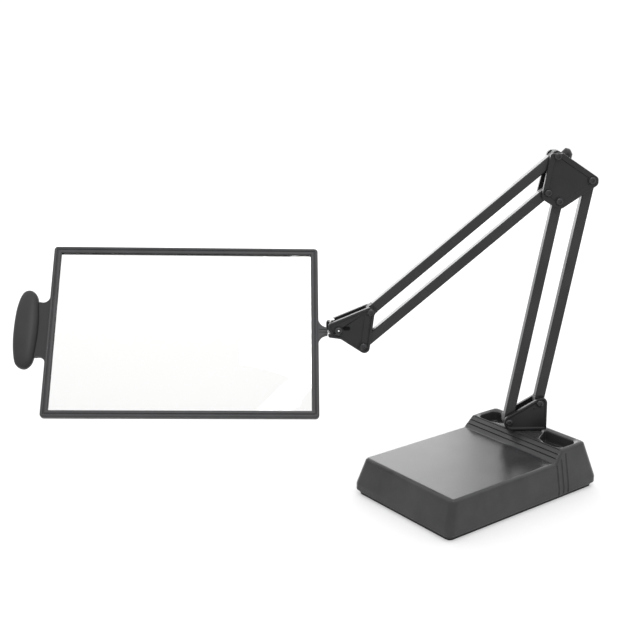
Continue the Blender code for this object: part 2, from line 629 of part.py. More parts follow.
def make_lens(columns=10, rows=8):
    """A rectangular lens with a bulged front and back and a flat rim."""
    half_x, half_z = FRAME_LENGTH / 2 - LENS_MARGIN, FRAME_HEIGHT / 2 - LENS_MARGIN
    bm = bmesh.new()
    grids = []
    for face, sign in ((LENS_FRONT, 1), (LENS_BACK, -1)):
        grid = []
        for j in range(rows + 1):
            z = half_z * (2 * j / rows - 1)
            line = [half_x * (2 * i / columns - 1) for i in range(columns + 1)]
            places = [(FRAME_LENGTH / 2 + x, face + sign * lens_dome(x, z), z) for x in line]
            grid.append([bm.verts.new(place) for place in places])
        grids.append(grid)
        for low, high in zip(grid, grid[1:]):
            for i in range(columns):
                bm.faces.new((low[i], low[i + 1], high[i + 1], high[i]))
    borders = []
    for grid in grids:
        left, right = [row[0] for row in grid], [row[-1] for row in grid]
        borders.append(grid[0] + right[1:] + grid[-1][-2::-1] + left[-2:0:-1])
    front, back = borders
    for i in range(len(front)):
        j = (i + 1) % len(front)
        bm.faces.new((front[i], front[j], back[j], back[i]))
    return finish_mesh("lens", bm, LENS, (0, 0, 0), "acrylic")


def make_lens_pin():
    """The steel pin that is fixed in the stub and turns in the knuckle."""
    profile = (
        (-1.9, 0), (-1.9, 1.6), (-9.1, 1.6), (-9.1, 2.2), (-11.2, 2.2), (-11.2, 1.6),
        (-13.6, 1.6), (-13.6, 2.2), (-14.9, 2.2), (-15.3, 1.8), (-15.3, 0),
    )
    turned("lens_pin", profile, (0, 0, 0), "x", LENS, (0, 0, 0), "steel", 16)


def grip_outline():
    """The half-moon hand grip, anticlockwise from its lower inner corner."""
    centre = FRAME_LENGTH / 2
    points = [
        (141.6, -30.0), (143.0, -34.4), (145.6, -38.0), (150.0, -39.9), (155.4, -38.4), (158.9, -34.4),
        (161.0, -27.0), (162.7, -15.0), (163.2, -3.0), (163.0, 9.0), (162.2, 20.0), (160.6, 28.6),
        (158.9, 34.4), (156.2, 38.7), (151.2, 40.5), (146.6, 38.9), (143.4, 35.2), (141.6, 29.8),
        (140.0, 18.0), (139.2, 4.0), (139.8, -14.0),
    ]
    return [(centre + x, z) for x, z in points]


def grip_half(name, side):
    """One domed half of the grip with a pocket for the frame's tab."""
    outline = grip_outline()
    middle = Vector((FRAME_LENGTH / 2 + 151.0, 0.0))
    levels = ((0.15, 1.0), (2.6, 0.99), (4.6, 0.93), (6.2, 0.8), (7.2, 0.58), (7.6, 0.3))
    rings = []
    for depth, share in levels:
        ring = [middle + (Vector(p) - middle) * share for p in outline]
        rings.append([(p.x, side * depth, p.y) for p in ring])
    grip = finish_mesh(name, skin(bmesh.new(), rings), LENS, (0, 0, 0), "frame_plastic")
    end = FRAME_LENGTH
    edge = [(end + 4.0, 31.0), (end + 10.1, 31.0), (end + 10.1, 25.9), (end + 23.7, 25.9)]
    pocket = edge + [(x, -z) for x, z in edge[::-1]]
    low, high = sorted((-side * 1.0, side * 2.5))
    cut(grip, prism(f"{name}_pocket", pocket, low, high, "xz", LENS))
    return grip


def make_grip():
    front, back = grip_half("grip_front", 1), grip_half("grip_back", -1)
    for i, z in enumerate((-18.0, 18.0)):
        x = FRAME_LENGTH + 20.0
        cut(front, rod(f"grip_pilot_{i}", 1.5, -1.0, 5.0, (x, 0, z), "y", LENS, 12))
        cut(back, rod(f"grip_hole_{i}", 1.5, -12.0, 1.0, (x, 0, z), "y", LENS, 12))
        cut(back, rod(f"grip_seat_{i}", 2.9, -12.0, -4.6, (x, 0, z), "y", LENS, 12))
        profile = ((-6.2, 0), (-6.2, 2.5), (-4.9, 2.5), (-4.9, 1.2), (4.2, 1.2), (4.7, 0))
        turned(f"grip_screw_{i + 1}", profile, (x, 0, z), "y", LENS, material="steel", steps=12)


make_base_shell()
make_base_bottom()
make_swivel()
make_base_bracket()
make_pivot("base_front_pivot", LOWER_FRONT)
make_pivot("base_rear_pivot", LOWER_REAR)
make_link("lower_arm", LOWER_FRONT, LOWER_LENGTH, pi / 2 + LOWER_LEAN, 20.6)
make_link("lower_link", LOWER_REAR, LOWER_LENGTH, pi / 2 + LOWER_LEAN)
make_elbow()
for pivot_label, pivot_point in elbow_pivots().items():
    make_pivot(f"elbow_{pivot_label}", pivot_point)
make_link("upper_arm", ELBOW_LOW, UPPER_LENGTH, -UPPER_DROP, 20.6)
make_link("upper_link", ELBOW_TOP, UPPER_LENGTH, -UPPER_DROP)
make_head()
for pivot_label, pivot_point in head_pivots().items():
    make_pivot(f"head_{pivot_label}", pivot_point)
make_pivot("clamp", stub_to_arm(CLAMP), 4.1)
make_knuckle()
make_lens_frame()
make_lens_retainer()
make_lens()
make_lens_pin()
make_grip()
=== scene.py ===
"""Looks of the desk page magnifier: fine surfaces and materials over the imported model.

Lengths are in millimetres in each assembly's own frame and are baked to metres in the row frame.
Arm frame: u towards the lens, v towards the reader's side, z up, with u = v = 0 on the swivel axis.
Lens frame: x along the lens from its stub end, y out of its front face, z up it.
"""

import bpy
import bmesh
import json
from math import atan2, cos, pi, radians, sin, tan
from mathutils import Matrix, Vector


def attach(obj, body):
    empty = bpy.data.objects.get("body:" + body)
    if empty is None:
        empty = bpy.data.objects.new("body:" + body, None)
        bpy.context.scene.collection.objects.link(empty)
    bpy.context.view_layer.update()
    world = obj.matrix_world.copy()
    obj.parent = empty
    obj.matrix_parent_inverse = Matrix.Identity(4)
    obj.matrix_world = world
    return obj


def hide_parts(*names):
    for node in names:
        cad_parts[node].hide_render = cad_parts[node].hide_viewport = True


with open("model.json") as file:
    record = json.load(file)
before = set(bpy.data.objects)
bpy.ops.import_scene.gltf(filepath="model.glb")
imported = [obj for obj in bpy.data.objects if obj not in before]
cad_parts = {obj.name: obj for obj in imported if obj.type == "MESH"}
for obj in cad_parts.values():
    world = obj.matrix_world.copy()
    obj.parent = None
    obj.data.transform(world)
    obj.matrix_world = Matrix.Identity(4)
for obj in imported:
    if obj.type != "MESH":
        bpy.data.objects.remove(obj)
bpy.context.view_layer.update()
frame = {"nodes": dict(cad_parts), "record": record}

MM = 0.001
WORLD = Matrix.Identity(4)
SWIVEL_Y = 66.0
ARM = Matrix.Translation((0, SWIVEL_Y * MM, 0)) @ Matrix.Rotation(radians(235.0), 4, "Z")
STUB_ROOT, STUB_RISE, LENS_LEAN = (206.7, 151.3), radians(1.1), radians(37.8)
STUB = ARM @ Matrix.Translation((STUB_ROOT[0] * MM, 0, STUB_ROOT[1] * MM))
STUB = STUB @ Matrix.Rotation(-STUB_RISE, 4, "Y")
LENS = STUB @ Matrix.Rotation(LENS_LEAN, 4, "X")

LOWER_FRONT, LOWER_REAR, LOWER_LENGTH, LOWER_LEAN = (17.7, 57.4), (-11.9, 77.0), 224.0, radians(9.5)
ELBOW_LOW, ELBOW_TOP, UPPER_LENGTH, UPPER_DROP = (-8.3, 286.5), (-15.5, 320.5), 227.0, radians(40.7)
TUBE_HALF, TUBE_WALL, TUBE_ROUND = 4.76, 1.0, 1.2
EYE_R, EYE_HALF, PIN_R, EYE_BORE_R = 4.9, 4.75, 2.0, 2.3
TUBE_SETBACK, SHOULDER, TONGUE_AT, TONGUE_HALF = 5.4, 5.2, 12.4, 7.6
SCREW_SEAT, NUT_DEEP = 9.3, 2.6
CHEEK_IN, CHEEK_OUT = 5.2, 9.0
CLAMP = (-19.0, 3.4)
FRAME_LENGTH, FRAME_HEIGHT, CORNER_R, BAR, RIM_R = 260.4, 175.6, 3.5, 7.0, 1.75
LENS_MARGIN, LENS_RIM, LENS_BULGE, LENS_FRONT, LENS_BACK = 4.6, 1.7, 1.8, 1.5, -1.3


# ---------------------------------------------------------------- mesh tools


def skin(bm, rings, wrap=False):
    """Joins rings of points into a surface. An end ring is capped, or joined to the first ring."""
    loops = [[bm.verts.new(point) for point in ring] for ring in rings]
    pairs = list(zip(loops, loops[1:]))
    if wrap:
        pairs.append((loops[-1], loops[0]))
    for first, second in pairs:
        for i in range(max(len(first), len(second))):
            corners = [first[i % len(first)], first[(i + 1) % len(first)]]
            corners += [second[(i + 1) % len(second)], second[i % len(second)]]
            bm.faces.new(list(dict.fromkeys(corners)))
    if not wrap:
        for loop in (loops[0], loops[-1]):
            if len(loop) > 2:
                bm.faces.new(loop)
    return bm


def mesh_object(name, bm, place=WORLD):
    """An object from a mesh in millimetres of a frame, with its vertices in the row frame."""
    bmesh.ops.recalc_face_normals(bm, faces=bm.faces)
    bm.transform(place @ Matrix.Scale(MM, 4))
    mesh = bpy.data.meshes.new(name)
    bm.to_mesh(mesh)
    bm.free()
    obj = bpy.data.objects.new(name, mesh)
    bpy.context.scene.collection.objects.link(obj)
    return obj


def bake(obj):
    """Replaces the mesh by what its modifiers make of it."""
    bpy.context.view_layer.update()
    graph = bpy.context.evaluated_depsgraph_get()
    mesh = bpy.data.meshes.new_from_object(obj.evaluated_get(graph))
    obj.modifiers.clear()
    obj.data = mesh
    return obj


def bevel(obj, width, segments=3, angle=30.0):
    modifier = obj.modifiers.new("edges", "BEVEL")
    modifier.width = width * MM
    modifier.segments = segments
    modifier.limit_method = "ANGLE"
    modifier.angle_limit = radians(angle)
    return obj


def boolean(obj, tool, operation="DIFFERENCE"):
    """Applies a cut or a join at once and removes the tool."""
    modifier = obj.modifiers.new("boolean", "BOOLEAN")
    modifier.operation = operation
    modifier.solver = "EXACT"
    modifier.object = tool
    bake(obj)
    bpy.data.objects.remove(tool, do_unlink=True)
    return obj


def smooth(obj, angle=32.0):
    """Smooth shading with sharp edges kept, and normals that follow the large faces."""
    bake(obj)
    obj.data.shade_smooth()
    obj.data.set_sharp_from_angle(angle=radians(angle))
    modifier = obj.modifiers.new("normals", "WEIGHTED_NORMAL")
    modifier.keep_sharp = True
    return bake(obj)


def on_plane(plane, point, depth):
    a, b = point
    return {"xy": (a, b, depth), "xz": (a, depth, b), "yz": (depth, a, b)}[plane]


def prism(bm, outline, low, high, plane="xy"):
    return skin(bm, [[on_plane(plane, p, d) for p in outline] for d in (low, high)])


def lathe(bm, profile, centre, axis, steps=32, hexagon=()):
    """A turned shape from (distance, radius) points. Rings named in hexagon are six-sided."""
    along = Vector({"x": (1, 0, 0), "y": (0, 1, 0), "z": (0, 0, 1)}[axis])
    side = Vector({"x": (0, 1, 0), "y": (0, 0, 1), "z": (1, 0, 0)}[axis])
    up = along.cross(side)
    rings = []
    for n, (distance, radius) in enumerate(profile):
        middle = Vector(centre) + along * distance
        ring = []
        for i in range(steps if radius > 0 else 1):
            t = 2 * pi * i / steps
            r = radius * cos(pi / 6) / cos((t % (pi / 3)) - pi / 6) if n in hexagon else radius
            ring.append(middle + r * (cos(t) * side + sin(t) * up))
        rings.append(ring)
    return skin(bm, rings, all(r > 0 for _, r in profile))


def arc(centre, radius, start, end, count):
    turns = [radians(start + (end - start) * i / count) for i in range(count + 1)]
    return [(centre[0] + radius * cos(t), centre[1] + radius * sin(t)) for t in turns]


def rounded_box(half_x, half_y, radius, count=6, centre=(0, 0)):
    points = []
    for i, (sx, sy) in enumerate(((1, 1), (-1, 1), (-1, -1), (1, -1))):
        middle = (centre[0] + sx * (half_x - radius), centre[1] + sy * (half_y - radius))
        points += arc(middle, radius, 90 * i, 90 * i + 90, count)
    return points


def fillet(corners, offset=0.0, steps=7):
    """A closed outline through rounded corners (x, y, radius), anticlockwise, moved inwards."""
    lines = []
    for here, after in zip(corners, corners[1:] + corners[:1]):
        along = (Vector(after[:2]) - Vector(here[:2])).normalized()
        lines.append((Vector(here[:2]) + offset * Vector((-along.y, along.x)), along))
    points = []
    for i, corner in enumerate(corners):
        (p, d), (q, e) = lines[i - 1], lines[i]
        cross = d.x * e.y - d.y * e.x
        meet = p + d * (((q.x - p.x) * e.y - (q.y - p.y) * e.x) / cross)
        turn = atan2(cross, d.dot(e))
        hand = 1 if turn > 0 else -1
        radius = max(corner[2] - hand * offset, 0.25)
        start = meet - d * (radius * tan(abs(turn) / 2))
        centre = start + hand * radius * Vector((-d.y, d.x))
        spoke = start - centre
        for k in range(steps + 1):
            a = turn * k / steps
            x, y = spoke.x * cos(a) - spoke.y * sin(a), spoke.x * sin(a) + spoke.y * cos(a)
            points.append((centre.x + x, centre.y + y))
    return points


def along_table(table, t):
    """A smooth value at t through (t, value) points."""
    i = max(1, min(len(table) - 1, sum(1 for x, _ in table if x < t)))
    slopes = []
    for j in (i - 1, i):
        a, b = table[max(j - 1, 0)], table[min(j + 1, len(table) - 1)]
        slopes.append((b[1] - a[1]) / (b[0] - a[0]))
    (x0, y0), (x1, y1) = table[i - 1], table[i]
    span = x1 - x0
    s = (t - x0) / span
    near = (2 * s**3 - 3 * s**2 + 1) * y0 + (s**3 - 2 * s**2 + s) * span * slopes[0]
    return near + (-2 * s**3 + 3 * s**2) * y1 + (s**3 - s**2) * span * slopes[1]


# ---------------------------------------------------------------- materials


def shader_tree(name):
    material = bpy.data.materials.new(name)
    material.use_nodes = True
    tree = material.node_tree
    return material, tree, tree.nodes["Principled BSDF"]


def noise(tree, coordinates, scale, detail=3.0, roughness=0.5):
    node = tree.nodes.new("ShaderNodeTexNoise")
    node.inputs["Scale"].default_value = scale
    node.inputs["Detail"].default_value = detail
    node.inputs["Roughness"].default_value = roughness
    tree.links.new(coordinates, node.inputs["Vector"])
    return node.outputs["Fac"]


def ranged(tree, value, low, high):
    node = tree.nodes.new("ShaderNodeMapRange")
    node.inputs["From Min"].default_value = 0.3
    node.inputs["From Max"].default_value = 0.7
    node.inputs["To Min"].default_value = low
    node.inputs["To Max"].default_value = high
    tree.links.new(value, node.inputs["Value"])
    return node.outputs["Result"]


def surface(
    name, colour, rough, metal=0.0, grain=2200.0, relief=0.04, level=0.5, spread=0.12, vary=0.2
):
    """A finished surface: its colour and roughness wander a little and a fine grain lifts it."""
    material, tree, shader = shader_tree(name)
    place = tree.nodes.new("ShaderNodeTexCoord").outputs["Object"]
    broad = noise(tree, place, 38.0, 4.0)
    fine = noise(tree, place, grain, 2.0)
    mix = tree.nodes.new("ShaderNodeMix")
    mix.data_type = "RGBA"
    mix.inputs["A"].default_value = (*[c * (1 - vary) for c in colour], 1.0)
    mix.inputs["B"].default_value = (*[min(1.0, c * (1 + vary)) for c in colour], 1.0)
    tree.links.new(ranged(tree, broad, 0.0, 1.0), mix.inputs["Factor"])
    tree.links.new(mix.outputs["Result"], shader.inputs["Base Color"])
    low, high = rough * (1 - spread), rough * (1 + spread)
    tree.links.new(ranged(tree, broad, low, high), shader.inputs["Roughness"])
    shader.inputs["Metallic"].default_value = metal
    shader.inputs["Specular IOR Level"].default_value = level
    bump = tree.nodes.new("ShaderNodeBump")
    bump.inputs["Strength"].default_value = relief
    bump.inputs["Distance"].default_value = 0.0002
    tree.links.new(fine, bump.inputs["Height"])
    tree.links.new(bump.outputs["Normal"], shader.inputs["Normal"])
    return material


def brushed(name, colour, rough, direction):
    """Drawn or turned metal: streaks along one axis."""
    material, tree, shader = shader_tree(name)
    place = tree.nodes.new("ShaderNodeTexCoord").outputs["Object"]
    mapping = tree.nodes.new("ShaderNodeMapping")
    mapping.inputs["Scale"].default_value = direction
    tree.links.new(place, mapping.inputs["Vector"])
    streak = noise(tree, mapping.outputs["Vector"], 1.0, 3.0)
    shader.inputs["Base Color"].default_value = (*colour, 1.0)
    shader.inputs["Metallic"].default_value = 1.0
    tree.links.new(ranged(tree, streak, rough * 0.7, rough * 1.3), shader.inputs["Roughness"])
    bump = tree.nodes.new("ShaderNodeBump")
    bump.inputs["Strength"].default_value = 0.05
    bump.inputs["Distance"].default_value = 0.0001
    tree.links.new(streak, bump.inputs["Height"])
    tree.links.new(bump.outputs["Normal"], shader.inputs["Normal"])
    return material


def clear_lens(name):
    """Clear moulded acrylic with a faint unevenness in its polish."""
    material, tree, shader = shader_tree(name)
    shader.inputs["Base Color"].default_value = (0.78, 0.78, 0.774, 1.0)
    shader.inputs["Roughness"].default_value = 0.0
    shader.inputs["Specular IOR Level"].default_value = 0.1
    shader.inputs["IOR"].default_value = 1.49
    shader.inputs["Transmission Weight"].default_value = 1.0
    place = tree.nodes.new("ShaderNodeTexCoord").outputs["Object"]
    bump = tree.nodes.new("ShaderNodeBump")
    bump.inputs["Strength"].default_value = 0.01
    bump.inputs["Distance"].default_value = 0.0005
    tree.links.new(noise(tree, place, 12.0, 1.0), bump.inputs["Height"])
    tree.links.new(bump.outputs["Normal"], shader.inputs["Normal"])
    return material


LOOKS = {
    "base_plastic": surface(
        "base_plastic_look", (0.027, 0.027, 0.028), 0.24, relief=0.08, grain=1800, level=0.30
    ),
    "frame_plastic": surface(
        "frame_plastic_look", (0.034, 0.034, 0.036), 0.48, relief=0.08, level=0.32
    ),
    "grip_plastic": surface(
        "grip_plastic_look", (0.013, 0.013, 0.014), 0.42, relief=0.08, level=0.30
    ),
    "bracket_plastic": surface(
        "bracket_plastic_look", (0.013, 0.013, 0.014), 0.36, relief=0.08, grain=2600, level=0.30
    ),
    "tube_paint": surface(
        "tube_paint_look", (0.020, 0.020, 0.021), 0.27, relief=0.05, grain=900, level=0.30
    ),
    "iron": surface("iron_look", (0.09, 0.085, 0.08), 0.7, 0.7, grain=700, relief=0.4, vary=0.4),
    "steel": brushed("steel_look", (0.62, 0.62, 0.61), 0.22, (900, 900, 60)),
    "black_steel": surface("black_steel_look", (0.03, 0.03, 0.032), 0.20, 0.5, grain=1500),
    "plug_nylon": surface("plug_nylon_look", (0.014, 0.014, 0.015), 0.5, relief=0.08),
    "rubber": surface(
        "rubber_look", (0.008, 0.008, 0.008), 0.8, relief=0.5, grain=1400, level=0.3
    ),
    "acrylic": clear_lens("acrylic_look"),
}
POLISHED = surface(
    "polished_pin_look", (0.85, 0.85, 0.84), 0.12, 1.0, relief=0.01, spread=0.3, vary=0.03
)
# Painted shade: a near-black look for a thin sheet that stands in for the shade inside the head
# bracket's slot.
PAINTED_SLOT_SHADE = surface("painted_slot_shade_look", (0.004, 0.004, 0.004), 0.9, relief=0.02, level=0.1)


def piece(obj, body, slot, *nodes, look=None, angle=32.0):
    """Finishes an object: its normals, material and body, and the nodes that it stands for."""
    smooth(obj, angle)
    obj.data.materials.clear()
    obj.data.materials.append(look or LOOKS[slot])
    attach(obj, body)
    if nodes:
        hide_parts(*nodes)
    return obj


# ---------------------------------------------------------------- base

LIP_X, LIP_Y, LIP_LOW, LIP_HIGH = 66.4, 100.4, 4.6, 11.0
DECK_Z, RAISED_Z = 36.4, 48.0
DECK_FRONT_Y, STEP_FOOT_Y, STEP_TOP_Y, RAISED_BACK_Y = -92.2, 41.9, 52.2, 88.6
SIDE_DRAFT, WALL, BOSS_R, TRAY_FLOOR_Z = 0.189, 2.6, 20.5, 36.2
CORNER_ROUND, TOP_ROUND, BACK_ROUND = 7.0, 3.6, 5.0
POSTS = ((-50.0, -81.0), (50.0, -81.0), (-50.0, 79.0), (50.0, 79.0))
CAVITY_FRONT_Y, CAVITY_BACK_Y, CAVITY_TOP_Z = -90.3, 89.3, 33.6
STEPS, STEP_START, STEP_SHARE, STEP_GAP = 3, 0.06, 0.31, 0.02
TOOTH_REACH, TOOTH_DEPTH, TOOTH_HALF_X = 0.84, 1.0, 70
GROOVE_HALF, GROOVE_DEPTH, GROOVE_START_Y, GROOVE_PITCH = 1.15, 0.9, 2.1, 6.6
CLEAR = 3.0
BORE_R, POST_R, POST_BORE_R = 6.8, 4.2, 1.9


def side_x(z):
    return LIP_X - SIDE_DRAFT * max(0.0, z - LIP_HIGH)


def drafted(outline, width_at):
    """A block whose sides lean in above the lip."""
    bm = skin(bmesh.new(), [[(side, y, z) for y, z in outline] for side in (-1, 1)])
    lip_line = [v for v in bm.verts if abs(v.co.z - LIP_HIGH) < 0.01]
    for side in (-1, 1):
        bmesh.ops.connect_verts(bm, verts=[v for v in lip_line if v.co.x == side])
    for vert in bm.verts:
        vert.co.x *= width_at(vert.co.z)
    return mesh_object("base_block", bm)


def weighted_bevel(obj, width, segments, share_at):
    """Bevels each edge by its share of a width. share_at takes the edge's ends, in millimetres."""
    bm = bmesh.new()
    bm.from_mesh(obj.data)
    layers = bm.edges.layers.float
    weight = layers.get("bevel_weight_edge") or layers.new("bevel_weight_edge")
    for edge in bm.edges:
        edge[weight] = share_at(*[vert.co / MM for vert in edge.verts])
    bm.to_mesh(obj.data)
    bm.free()
    modifier = obj.modifiers.new("edges", "BEVEL")
    modifier.width = width * MM
    modifier.segments = segments
    modifier.limit_method = "WEIGHT"
    return bake(obj)


def base_rounding(a, b):
    """The share of the corner rounding a base edge gets: none along the bottom and the lip."""
    low, high = min(a.z, b.z), max(a.z, b.z)
    across = a.x * b.x < 0
    middle = (a.y + b.y) / 2
    if high < LIP_HIGH + 1 and high - low < 1:
        radius = 0.0
    elif high - low > 1 and not across:
        radius = TOP_ROUND if abs(a.y - b.y) > 10 and low > DECK_Z - 1 else CORNER_ROUND
    elif across and abs(middle - STEP_FOOT_Y) < 1:
        radius = 1.6
    elif across and abs(middle - STEP_TOP_Y) < 1:
        radius = 2.4
    else:
        radius = BACK_ROUND if middle > RAISED_BACK_Y - 1 else TOP_ROUND
    return radius / CORNER_ROUND


def level_edge(a, b):
    """All of the rounding for the loops along the bottom and the lip."""
    return max(float(abs(a.z - z) < 0.6 and abs(b.z - z) < 0.6) for z in (LIP_LOW, LIP_HIGH))


def tray_ring(side, grow, z):
    """The tray's plan outline grown outwards by a distance, at a height."""
    corners = [
        (BOSS_R * cos(0.69), SWIVEL_Y + BOSS_R * sin(0.69), 1.2),
        (54.0, 80.4, 6.5), (54.0, 55.4, 6.5), (36.0, 55.4, 6.0), (25.5, 60.2, 5.0),
    ]
    corners = [corners[0]] + corners[:0:-1]
    outline = fillet(corners, -grow, 8)
    return [(side * x, y, z) for x, y in outline]


def cut_tooth(shell, i):
    """One saw tooth up the slope between the deck and the raised back."""
    foot, top = Vector((STEP_FOOT_Y, DECK_Z)), Vector((STEP_TOP_Y, RAISED_Z))
    run = top - foot
    out = Vector((-run.y, run.x)).normalized()
    a = foot + run * (STEP_START + STEP_SHARE * i)
    b = foot + run * (STEP_START + STEP_SHARE * (i + 1) - STEP_GAP)
    tooth = [
        a + out * CLEAR, a, a + (b - a) * TOOTH_REACH - out * TOOTH_DEPTH, b, b + out * CLEAR
    ]
    outline = [tuple(p) for p in tooth]
    tool = prism(bmesh.new(), outline, -TOOTH_HALF_X, TOOTH_HALF_X, "yz")
    boolean(shell, mesh_object("tooth", tool))


def cut_groove(shell, i, side):
    """One round-bottomed groove down a side wall, beside the riser."""
    y = STEP_FOOT_Y + GROOVE_START_Y + GROOVE_PITCH * i
    high = min(RAISED_Z - 5.0, DECK_Z - 2.0 + 4.5 * i)
    deep = -GROOVE_DEPTH
    ends = ((2.0, deep), (2.0, CLEAR), (high, CLEAR), (high, deep), (LIP_HIGH, deep))
    flute = []
    for turn in range(9):
        a = pi * turn / 8
        ring = []
        for z, d in ends:
            x = side_x(z) + (d if d > 0 else d * sin(a))
            ring.append((side * x, y - GROOVE_HALF * cos(a), z))
        flute.append(ring)
    boolean(shell, mesh_object("groove", skin(bmesh.new(), flute)))


def cut_tray(shell, side):
    """One pen tray: a rounded foot, steep walls and a rim that rolls out to the raised top."""
    floor, top = TRAY_FLOOR_Z, RAISED_Z
    levels = (
        (-2.6, floor), (-1.0, floor + 0.4), (-0.3, floor + 1.2), (0, floor + 2.6),
        (0.25, top - 2.2), (0.6, top - 1.5), (1.2, top - 1.05), (4.0, top - 0.2),
        (4.6, top - 0.06), (5.2, top), (5.2, 60),
    )
    rings = [tray_ring(side, grow, z) for grow, z in levels]
    boolean(shell, mesh_object("tray", skin(bmesh.new(), rings)))


def make_base():
    outline = [
        (-LIP_Y, LIP_LOW), (LIP_Y, LIP_LOW), (LIP_Y, LIP_HIGH), (RAISED_BACK_Y, RAISED_Z),
        (STEP_TOP_Y, RAISED_Z), (STEP_FOOT_Y, DECK_Z), (DECK_FRONT_Y, DECK_Z), (-LIP_Y, LIP_HIGH),
    ]
    shell = drafted(outline, side_x)
    weighted_bevel(shell, CORNER_ROUND, 8, base_rounding)
    weighted_bevel(shell, 0.9, 3, level_edge)
    shell.name = "base_body"
    for i in range(STEPS):
        cut_tooth(shell, i)
        for side in (-1, 1):
            cut_groove(shell, i, side)
    inside = [
        (-LIP_Y + WALL, 3.0), (LIP_Y - WALL, 3.0), (LIP_Y - WALL, LIP_HIGH),
        (CAVITY_BACK_Y, CAVITY_TOP_Z), (CAVITY_FRONT_Y, CAVITY_TOP_Z), (-LIP_Y + WALL, LIP_HIGH),
    ]
    boolean(shell, drafted(inside, lambda z: side_x(z) - WALL))
    for side in (-1, 1):
        cut_tray(shell, side)
    bore = lathe(
        bmesh.new(), ((10, 0), (10, BORE_R), (60, BORE_R), (60, 0)), (0, SWIVEL_Y, 0), "z", 40
    )
    boolean(shell, mesh_object("bore", bore))
    for x, y in POSTS:
        profile = ((12, POST_BORE_R), (12, POST_R), (34.8, POST_R), (34.8, POST_BORE_R))
        post = lathe(bmesh.new(), profile, (x, y, 0), "z", 24)
        boolean(shell, mesh_object("post", post), "UNION")
    return piece(shell, "base", "base_plastic", "base_shell")


def make_swivel():
    centre = (0, SWIVEL_Y, 0)
    profile = (
        (20.3, 3.6), (20.3, 6.5), (48.3, 6.5), (48.3, 6.7), (48.5, 6.9), (48.9, 6.9),
        (49.1, 6.7), (49.1, 4.9), (49.9, 4.9), (49.9, 3.6),
    )
    flange = mesh_object("swivel_flange", lathe(bmesh.new(), profile, centre, "z", 64))
    piece(flange, "base", "plug_nylon", "swivel_bushing")
    bolt = (
        (13.6, 0), (13.6, 3.2), (54.6, 3.2), (54.6, 4.7), (55.8, 4.7), (57.0, 4.3),
        (57.8, 3.4), (58.0, 2.4), (58.0, 2.1), (56.2, 2.0), (56.2, 0),
    )
    bm = lathe(bmesh.new(), bolt, centre, "z", 36, (9, 10))
    piece(mesh_object("swivel_pin", bm), "turret", "steel", "swivel_bolt")


# ---------------------------------------------------------------- arm


def shift(point, length, angle):
    return (point[0] + length * cos(angle), point[1] + length * sin(angle))


def lower_end(start):
    return shift(start, LOWER_LENGTH, pi / 2 + LOWER_LEAN)


def upper_end(start):
    return shift(start, UPPER_LENGTH, -UPPER_DROP)


def stub_to_arm(point):
    x, z = point
    c, s = cos(STUB_RISE), sin(STUB_RISE)
    return (STUB_ROOT[0] + x * c - z * s, STUB_ROOT[1] + x * s + z * c)


def make_link(name, start, length, angle):
    """A square tube with a pivot eye plugged into each end."""
    place = ARM @ Matrix.Translation((start[0] * MM, 0, start[1] * MM))
    place = place @ Matrix.Rotation(-angle, 4, "Y")
    inner = TUBE_HALF - TUBE_WALL
    low, high = TUBE_SETBACK, length - TUBE_SETBACK
    levels = (
        (0.15, low, 1), (0.0, low + 0.15, 1), (0.0, high - 0.15, 1), (0.15, high, 1),
        (0, high, 0), (0, low, 0),
    )
    rings = []
    for shrink, x, outer in levels:
        half, turn = (TUBE_HALF - shrink, TUBE_ROUND - shrink) if outer else (inner, 0.5)
        rings.append([(x, y, z) for y, z in rounded_box(half, half, turn, 6)])
    bm = skin(bmesh.new(), rings, True)
    piece(mesh_object(f"{name}_square_tube", bm, place), name, "tube_paint", f"{name}_tube")
    for end, sign, x in (("start", 1, 0.0), ("end", -1, length)):
        turns = [pi * i / 24 - pi / 2 for i in range(25)]
        eye = [(x - sign * EYE_R * cos(t), EYE_R * sin(t)) for t in turns]
        shoulder = x + sign * SHOULDER
        eye += [(shoulder, EYE_R - 0.15), (shoulder, -EYE_R + 0.15)]
        bm = prism(bmesh.new(), eye, -EYE_HALF, EYE_HALF, "xz")
        tongue = rounded_box(TONGUE_HALF, inner - 0.3, 0.3, 2, (x + sign * TONGUE_AT, 0))
        prism(bm, tongue, -inner + 0.3, inner - 0.3, "xz")
        plug = bake(bevel(mesh_object(f"{name}_eye_{end}", bm, place), 0.45, 3, 40))
        profile = ((-9, 0), (-9, EYE_BORE_R), (9, EYE_BORE_R), (9, 0))
        bore = lathe(bmesh.new(), profile, (x, 0, 0), "y", 32)
        boolean(plug, mesh_object("bore", bore, place))
        piece(plug, name, "plug_nylon", f"{name}_plug_{end}")


def make_bolt(name, body, pivot, r=3.6):
    """A button-head pivot screw through both cheeks, with a domed end past its nut."""
    near = SCREW_SEAT
    profile = (
        (near + 0.9, 0), (near + 0.9, 0.42 * r), (near + 1.85, 0.45 * r), (near + 1.9, 0.52 * r),
        (near + 1.82, 0.66 * r), (near + 1.5, 0.84 * r), (near + 0.95, 0.96 * r), (near + 0.3, r),
        (near + 0.02, 0.98 * r), (near, 0.9 * r), (near, PIN_R), (-near - 3.1, PIN_R),
        (-near - 3.5, PIN_R - 0.4), (-near - 3.6, PIN_R - 1.0), (-near - 3.6, 0),
    )
    bm = lathe(bmesh.new(), profile, (pivot[0], 0, pivot[1]), "y", 36, (1, 2))
    piece(mesh_object(f"{name}_screw", bm, ARM), body, "black_steel", f"{name}_bolt")


